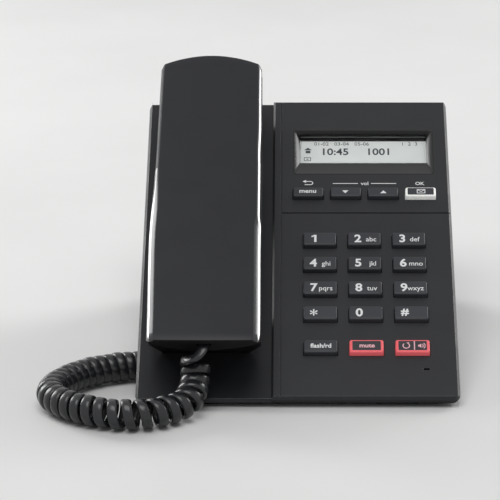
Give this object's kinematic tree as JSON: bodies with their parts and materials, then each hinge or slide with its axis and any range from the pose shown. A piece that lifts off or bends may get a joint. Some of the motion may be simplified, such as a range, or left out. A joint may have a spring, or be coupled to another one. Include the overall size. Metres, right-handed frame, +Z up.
{
  "type": "desk ip phone",
  "caption": "Sloping desk telephone with a handset in its cradle, a curly cord, a small display, number and function keys and a rear stand.",
  "frame": {"origin": "centre of the footprint of the base and handset, on the desk", "axes": "+X to the user's right, +Y away from the user, +Z up"},
  "size_m": [0.1952, 0.2146, 0.1279],
  "materials": {
    "housing_plastic": "fine satin texture",
    "tub_plastic": "fine matt texture",
    "handset_plastic": "fine satin texture",
    "key_plastic": "satin with printed legends",
    "red_key_plastic": "translucent",
    "white_key_plastic": "translucent",
    "rubber_black": "matt",
    "cord_black": "glossy extruded jacket",
    "clear_plastic": "clear",
    "lcd_grey": "pale grey liquid crystal display",
    "board_green": "solder mask",
    "component_black": "moulded",
    "silicone_grey": "silicone",
    "holder_white": "moulded",
    "ribbon_amber": "polyimide film",
    "steel": "plated",
    "receiver_metal": "satin",
    "contact_gold": "gold flash",
    "plug_clear": "clear polycarbonate"
  },
  "bodies": {
    "base": {"top_housing": "housing_plastic", "bottom_housing": "tub_plastic", "rear_stand": "tub_plastic", "rubber_feet": "rubber_black", "display_lens": "clear_plastic", "lcd_glass": "lcd_grey", "lcd_holder": "holder_white", "display_ribbon": "ribbon_amber", "main_board": "board_green", "board_components": "component_black", "keypad_mat": "silicone_grey", "lan_jack": "component_black", "pc_jack": "component_black", "jack_contacts": "contact_gold", "power_jack": "component_black", "handset_jack": "component_black", "loudspeaker": "component_black", "base_microphone": "receiver_metal", "microphone_boot": "rubber_black", "hook_spring": "steel", "hook_microswitch": "component_black", "housing_screws": "steel", "curly_cord": "cord_black", "cord_tail_base": "cord_black", "base_plug": "plug_clear"},
    "handset": {"handset_back_shell": "handset_plastic", "handset_front_shell": "handset_plastic", "earpiece_receiver": "receiver_metal", "receiver_gasket": "rubber_black", "handset_microphone": "receiver_metal", "handset_mic_boot": "rubber_black", "ballast_weight": "steel", "handset_socket": "component_black", "handset_screws": "steel", "handset_plug": "plug_clear", "cord_tail_handset": "cord_black"},
    "hook": {"hook_plunger": "tub_plastic"},
    "key_1_body": {"key_1": "key_plastic"},
    "key_2_body": {"key_2": "key_plastic"},
    "key_3_body": {"key_3": "key_plastic"},
    "key_4_body": {"key_4": "key_plastic"},
    "key_5_body": {"key_5": "key_plastic"},
    "key_6_body": {"key_6": "key_plastic"},
    "key_7_body": {"key_7": "key_plastic"},
    "key_8_body": {"key_8": "key_plastic"},
    "key_9_body": {"key_9": "key_plastic"},
    "key_star_body": {"key_star": "key_plastic"},
    "key_0_body": {"key_0": "key_plastic"},
    "key_hash_body": {"key_hash": "key_plastic"},
    "key_flash_body": {"key_flash": "key_plastic"},
    "key_mute_body": {"key_mute": "red_key_plastic"},
    "key_speaker_body": {"key_speaker": "red_key_plastic"},
    "key_menu_body": {"key_menu": "key_plastic"},
    "key_down_body": {"key_down": "key_plastic"},
    "key_up_body": {"key_up": "key_plastic"},
    "key_ok_body": {"key_ok": "white_key_plastic"}
  },
  "joints": [
    {"name": "handset_lift", "type": "slide", "parent": "base", "child": "handset", "axis": [0, -0.4848, 0.8746], "range_m": [0, 0.06]},
    {"name": "hook_slide", "type": "slide", "parent": "base", "child": "hook", "axis": [0, -0.4848, 0.8746], "range_m": [0, 0.004]},
    {"name": "key_1_press", "type": "slide", "parent": "base", "child": "key_1_body", "axis": [0, 0.4848, -0.8746], "range_m": [0, 0.0012], "stiffness_N_per_m": 400, "springref_m": -0.001},
    {"name": "key_2_press", "type": "slide", "parent": "base", "child": "key_2_body", "axis": [0, 0.4848, -0.8746], "range_m": [0, 0.0012], "stiffness_N_per_m": 400, "springref_m": -0.001},
    {"name": "key_3_press", "type": "slide", "parent": "base", "child": "key_3_body", "axis": [0, 0.4848, -0.8746], "range_m": [0, 0.0012], "stiffness_N_per_m": 400, "springref_m": -0.001},
    {"name": "key_4_press", "type": "slide", "parent": "base", "child": "key_4_body", "axis": [0, 0.4848, -0.8746], "range_m": [0, 0.0012], "stiffness_N_per_m": 400, "springref_m": -0.001},
    {"name": "key_5_press", "type": "slide", "parent": "base", "child": "key_5_body", "axis": [0, 0.4848, -0.8746], "range_m": [0, 0.0012], "stiffness_N_per_m": 400, "springref_m": -0.001},
    {"name": "key_6_press", "type": "slide", "parent": "base", "child": "key_6_body", "axis": [0, 0.4848, -0.8746], "range_m": [0, 0.0012], "stiffness_N_per_m": 400, "springref_m": -0.001},
    {"name": "key_7_press", "type": "slide", "parent": "base", "child": "key_7_body", "axis": [0, 0.4848, -0.8746], "range_m": [0, 0.0012], "stiffness_N_per_m": 400, "springref_m": -0.001},
    {"name": "key_8_press", "type": "slide", "parent": "base", "child": "key_8_body", "axis": [0, 0.4848, -0.8746], "range_m": [0, 0.0012], "stiffness_N_per_m": 400, "springref_m": -0.001},
    {"name": "key_9_press", "type": "slide", "parent": "base", "child": "key_9_body", "axis": [0, 0.4848, -0.8746], "range_m": [0, 0.0012], "stiffness_N_per_m": 400, "springref_m": -0.001},
    {"name": "key_star_press", "type": "slide", "parent": "base", "child": "key_star_body", "axis": [0, 0.4848, -0.8746], "range_m": [0, 0.0012], "stiffness_N_per_m": 400, "springref_m": -0.001},
    {"name": "key_0_press", "type": "slide", "parent": "base", "child": "key_0_body", "axis": [0, 0.4848, -0.8746], "range_m": [0, 0.0012], "stiffness_N_per_m": 400, "springref_m": -0.001},
    {"name": "key_hash_press", "type": "slide", "parent": "base", "child": "key_hash_body", "axis": [0, 0.4848, -0.8746], "range_m": [0, 0.0012], "stiffness_N_per_m": 400, "springref_m": -0.001},
    {"name": "key_flash_press", "type": "slide", "parent": "base", "child": "key_flash_body", "axis": [0, 0.4848, -0.8746], "range_m": [0, 0.0012], "stiffness_N_per_m": 400, "springref_m": -0.001},
    {"name": "key_mute_press", "type": "slide", "parent": "base", "child": "key_mute_body", "axis": [0, 0.4848, -0.8746], "range_m": [0, 0.0012], "stiffness_N_per_m": 400, "springref_m": -0.001},
    {"name": "key_speaker_press", "type": "slide", "parent": "base", "child": "key_speaker_body", "axis": [0, 0.4848, -0.8746], "range_m": [0, 0.0012], "stiffness_N_per_m": 400, "springref_m": -0.001},
    {"name": "key_menu_press", "type": "slide", "parent": "base", "child": "key_menu_body", "axis": [0, 0.4848, -0.8746], "range_m": [0, 0.0012], "stiffness_N_per_m": 400, "springref_m": -0.001},
    {"name": "key_down_press", "type": "slide", "parent": "base", "child": "key_down_body", "axis": [0, 0.4848, -0.8746], "range_m": [0, 0.0012], "stiffness_N_per_m": 400, "springref_m": -0.001},
    {"name": "key_up_press", "type": "slide", "parent": "base", "child": "key_up_body", "axis": [0, 0.4848, -0.8746], "range_m": [0, 0.0012], "stiffness_N_per_m": 400, "springref_m": -0.001},
    {"name": "key_ok_press", "type": "slide", "parent": "base", "child": "key_ok_body", "axis": [0, 0.4848, -0.8746], "range_m": [0, 0.0012], "stiffness_N_per_m": 400, "springref_m": -0.001}
  ],
  "couplings": [
    {"joint": "hook_slide", "follows": "handset_lift", "ratio": 0.066}
  ]
}
